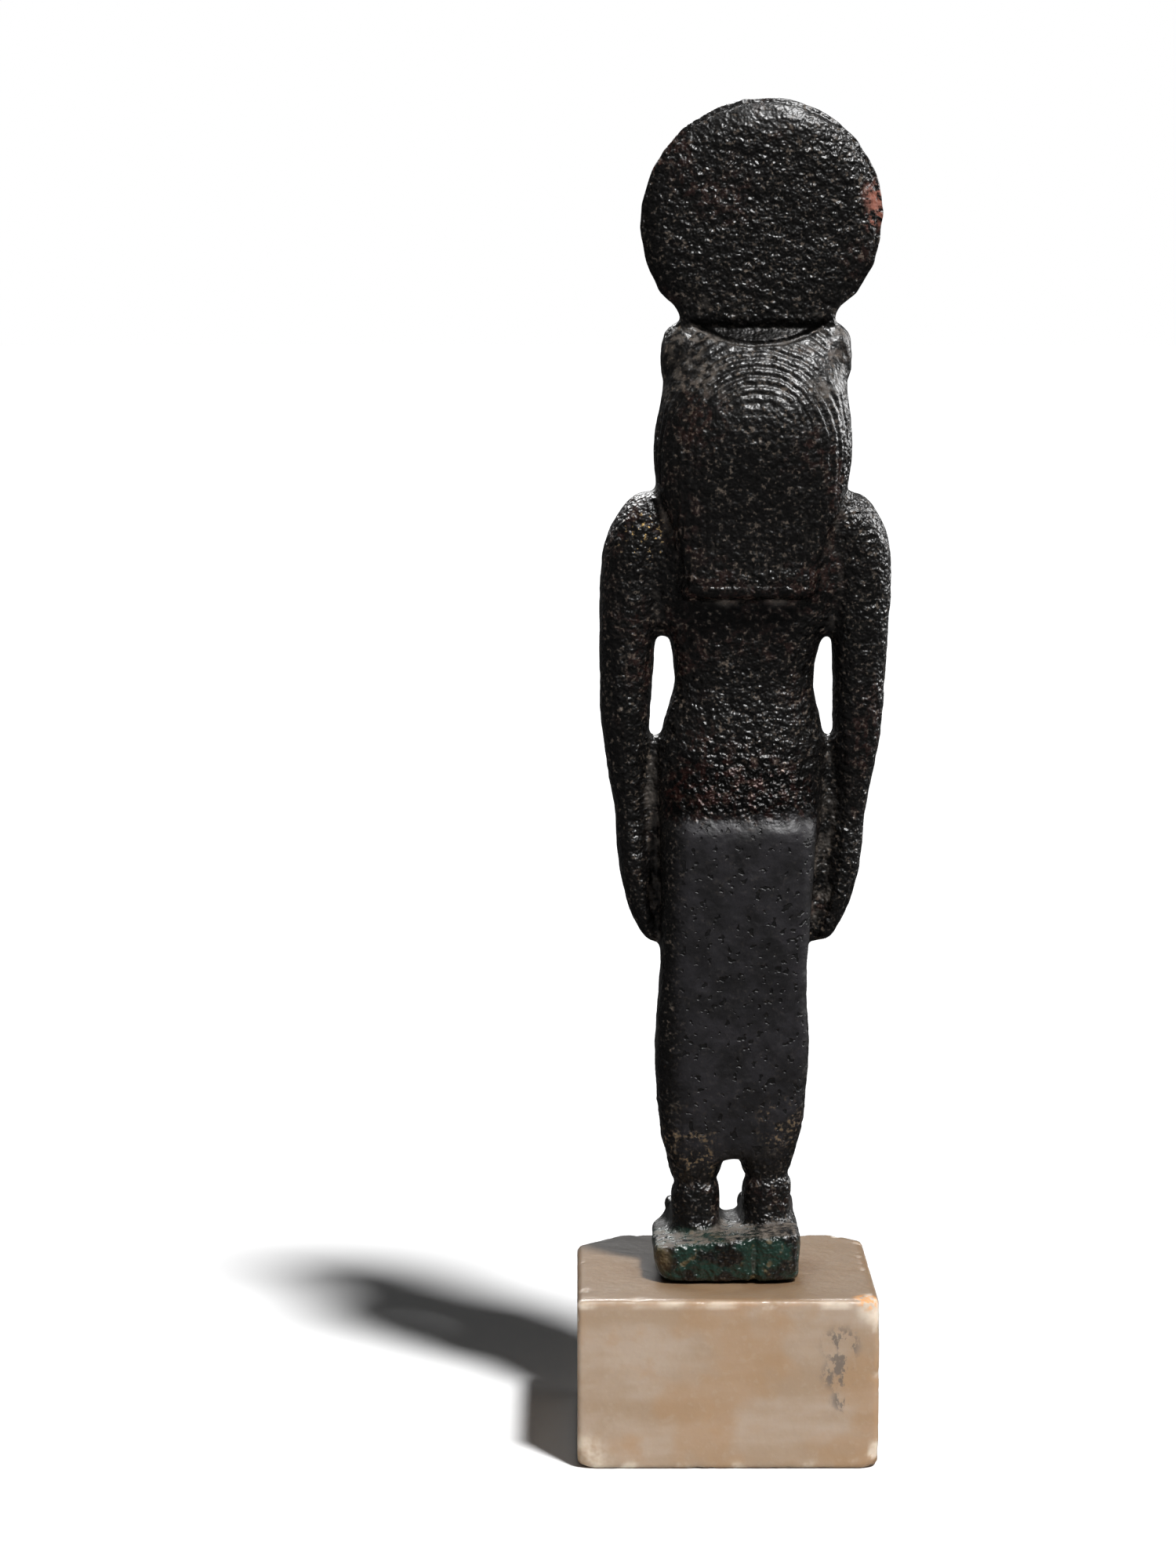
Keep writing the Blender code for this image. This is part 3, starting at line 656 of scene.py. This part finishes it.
def stone_material(settings):
    g = Graph("banded onyx marble")
    _, _, z = g.axes()
    bands = g.grain(0.0042, 3, 0.5, (0.16, 0.16, 1.0), 1.0)
    cloud = g.grain(0.008, 4, 0.6, seed=5.0)
    fine = g.grain(0.0009, 3, seed=2.0)
    base = g.colour((bands * 0.55 + cloud * 0.45).between(0.38, 0.62), tuple(settings.tan), tuple(settings.pale))
    base = g.colour(cloud.between(0.54, 0.72) * 0.45, base, tuple(settings.amber))
    base = g.colour(g.grain(0.018, 3, 0.6, seed=3.0).between(0.46, 0.58) * 0.5, base, tuple(settings.amber))
    base = g.colour(fine.between(0.56, 0.70) * 0.20, base, (0.40, 0.32, 0.24))
    top = z.between(STONE_TOP - 0.0004, STONE_TOP - 0.0001)
    # Painted shade: a darker brown ring on the top round the plinth
    seat = g.spot((-0.4, 1.2, 25.3), 17.5, 0.62) * top
    base = g.colour(top * 0.80, base, (0.210, 0.134, 0.074))
    base = g.colour(seat * cloud.between(0.30, 0.60) * 0.60, base, (0.13, 0.068, 0.030))
    # Pale chips, and a painted highlight just under the near top edge
    chips_and_highlight = g.attribute("chip_and_highlight")
    base = g.colour(chips_and_highlight * cloud.between(0.40, 0.58) * 0.8, base, tuple(settings.chalk))
    corner = g.spot((-20.2, 18.6, 25.3), 2.6) * fine.between(0.40, 0.55)
    base = g.colour(corner * 0.8, base, (0.62, 0.26, 0.05))
    smear = g.spot((-16.4, 20.0, 18.6), 3.6) + g.spot((-16.0, 20.0, 14.2), 3.2) + g.spot((-16.8, 20.0, 10.4), 2.4)
    smear = smear.capped() * g.grain(0.0016, 4, 0.7, (1, 1, 0.6), 3.0).between(0.46, 0.56)
    base = g.colour(smear * 0.75, base, (0.10, 0.085, 0.075))
    roughness = 0.26 + fine * 0.10 + chips_and_highlight * 0.35 + smear * 0.3 + top * 0.06
    normal = g.bumped(g.grain(0.0030, 3), 0.00012)
    normal = g.bumped(fine, 0.00003, normal)
    return g.finish(
        {
            "Base Color": base,
            "Roughness": roughness,
            "Normal": normal,
            "Subsurface Weight": 0.25,
            "Subsurface Radius": (1.0, 0.6, 0.3),
            "Subsurface Scale": 0.003,
        }
    )


def chips_and_highlight_line(places):
    """Where the near face's edges and corners have lost their skin, besides the nicks, and a painted highlight line
    just under the near top edge.
    """
    x, y, z = (places / MM).T
    top = STONE_TOP / MM
    low_corner = (1 - ramp(np.hypot(x - 20.5, z - 1.8), 1.5, 4.5)) * ramp(y, 18.5, 19.4)
    high_corner = (1 - ramp(np.hypot(x + 21.0, z - 24.0), 1.0, 3.2)) * ramp(y, 17.5, 18.4)
    # Painted highlight: a pale line just under the near top edge
    rim = band(z, top - 1.1, top - 0.4, 0.3) * ramp(y, 18.9, 19.3) * ramp(lumps(places, 4 * MM, 15.0), -0.2, 0.3)
    low_rim = (1 - ramp(z, 0.5, 1.6)) * ramp(lumps(places, 2.6 * MM, 19.0), 0.0, 0.4)
    return np.maximum.reduce([low_corner, high_corner, 0.8 * rim, 0.8 * low_rim])


class BRONZE_OT_stone(bpy.types.Operator):
    """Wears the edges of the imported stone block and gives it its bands"""

    bl_idname = "bronze.stone"
    bl_label = "Stone block"

    def execute(self, context):
        settings = context.scene.stone_settings
        block = piece("onyx_block", merged_copy("stone_base"))
        settle(block, "REMESH", mode="VOXEL", voxel_size=settings.grain)
        settle(block, "SMOOTH", factor=0.5, iterations=3)
        places, normals = read(block.data)
        edge = ramp(-hollows(block.data, 30), 0.03 * MM, 0.35 * MM)
        nick = np.maximum(lumps(places, 2.4 * MM, 2.0) - 0.22, 0)
        nick += 0.4 * np.maximum(lumps(places, 0.9 * MM, 7.0) - 0.2, 0)
        write(block.data, places - normals * (settings.wear * edge * nick * 1.6)[:, None])
        block.data.shade_smooth()
        nicked = ramp(edge, 0.25, 0.8) * ramp(nick, 0.10, 0.34)
        keep_attribute(block.data, "chip_and_highlight", np.maximum(nicked, chips_and_highlight_line(places)))
        give_material(block, stone_material(settings))
        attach(block, "root")
        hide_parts("stone_base")
        return {"FINISHED"}


# The stage, with lengths in metres, the lens in millimetres and angles in degrees

CAMERA_PLACE = (0.02194, 0.56664, 0.17057)
CAMERA_PITCH = 7.258
CAMERA_YAW = 0.157
CAMERA_LENS = 88.6
KEY_SIDE = 35.0
KEY_RISE = 57.0
KEY_SIZE = 8.0
FLOOR_RADIUS = 12.0
GLOSS_AIM = (0, 0, 0.09)
SOFTBOXES = (
    # name, place, size, share of the gloss power
    ("front gloss", (0.20, -0.60, 0.90), 0.60, 1.0),
    ("side gloss", (-0.80, -0.40, 0.45), 0.40, 0.35),
)


def softbox(name, place, size, power):
    """An area light that only the gloss of the pieces shows, so the floor's shadow stays as it is."""
    data = bpy.data.lights.new(name, "AREA")
    data.size, data.energy = size, power
    light = bpy.data.objects.new(name, data)
    light.location = place
    light.rotation_euler = (Vector(place) - Vector(GLOSS_AIM)).to_track_quat("Z", "Y").to_euler()
    light.visible_diffuse = light.visible_camera = False
    bpy.context.scene.collection.objects.link(light)


class BRONZE_OT_stage(bpy.types.Operator):
    """Sets the floor, the lights and the camera"""

    bl_idname = "bronze.stage"
    bl_label = "Stage"

    def execute(self, context):
        settings = context.scene.stage_settings
        paper = Graph("floor")
        matt_white = {"Base Color": (*settings.floor, 1.0), "Roughness": 0.9, "Specular IOR Level": 0.0}
        bm = bmesh.new()
        bmesh.ops.create_circle(bm, cap_ends=True, segments=64, radius=FLOOR_RADIUS)
        floor = piece("floor", bm, paper.finish(matt_white))
        floor.visible_glossy = False

        key = bpy.data.lights.new("key", "SUN")
        key.energy, key.angle = settings.key_power, math.radians(KEY_SIZE)
        sun = bpy.data.objects.new("key", key)
        sun.rotation_euler = (math.radians(90 - KEY_RISE), 0, math.radians(180 + KEY_SIDE))
        context.scene.collection.objects.link(sun)
        for name, place, size, share in SOFTBOXES:
            softbox(name, place, size, settings.gloss * share)

        # The camera sees a white world, and the pieces get only the fill from it
        world = bpy.data.worlds.new("studio")
        world.use_nodes = True
        tree = world.node_tree
        seen = tree.nodes.new("ShaderNodeLightPath")
        strength = tree.nodes.new("ShaderNodeMapRange")
        strength.inputs["To Min"].default_value = settings.fill
        tree.links.new(seen.outputs["Is Camera Ray"], strength.inputs["Value"])
        tree.links.new(strength.outputs["Result"], tree.nodes["Background"].inputs["Strength"])
        tree.nodes["Background"].inputs["Color"].default_value = (1, 1, 1, 1)
        context.scene.world = world
        context.scene.view_settings.view_transform = "Standard"

        data = bpy.data.cameras.new("camera")
        data.lens, data.sensor_width = CAMERA_LENS, 36.0
        data.clip_start, data.clip_end = 0.01, 20.0
        camera = bpy.data.objects.new("camera", data)
        camera.location = CAMERA_PLACE
        camera.rotation_euler = (math.radians(90 - CAMERA_PITCH), 0, math.radians(180 - CAMERA_YAW))
        context.scene.collection.objects.link(camera)
        context.scene.camera = camera
        return {"FINISHED"}


class BRONZE_PT_panel(bpy.types.Panel):
    bl_idname = "BRONZE_PT_panel"
    bl_label = "Bronze"
    bl_space_type = "VIEW_3D"
    bl_region_type = "UI"
    bl_category = "Bronze"

    def draw(self, context):
        for operator, group in STEPS:
            box = self.layout.box()
            box.operator(operator)
            settings = getattr(context.scene, group)
            for name in type(settings).__annotations__:
                box.prop(settings, name)


STEPS = (
    ("bronze.figure", "bronze_settings"),
    ("bronze.stone", "stone_settings"),
    ("bronze.stage", "stage_settings"),
)
GROUPS = (BronzeSettings, StoneSettings, StageSettings)
CLASSES = (*GROUPS, BRONZE_OT_figure, BRONZE_OT_stone, BRONZE_OT_stage, BRONZE_PT_panel)


def register():
    for cls in CLASSES:
        bpy.utils.register_class(cls)
    for (_, group), cls in zip(STEPS, GROUPS):
        setattr(bpy.types.Scene, group, PointerProperty(type=cls))


def unregister():
    for _, group in STEPS:
        delattr(bpy.types.Scene, group)
    for cls in reversed(CLASSES):
        bpy.utils.unregister_class(cls)


def main():
    register()
    bpy.ops.bronze.figure()
    bpy.ops.bronze.stone()
    bpy.ops.bronze.stage()


if __name__ == "__main__":
    main()
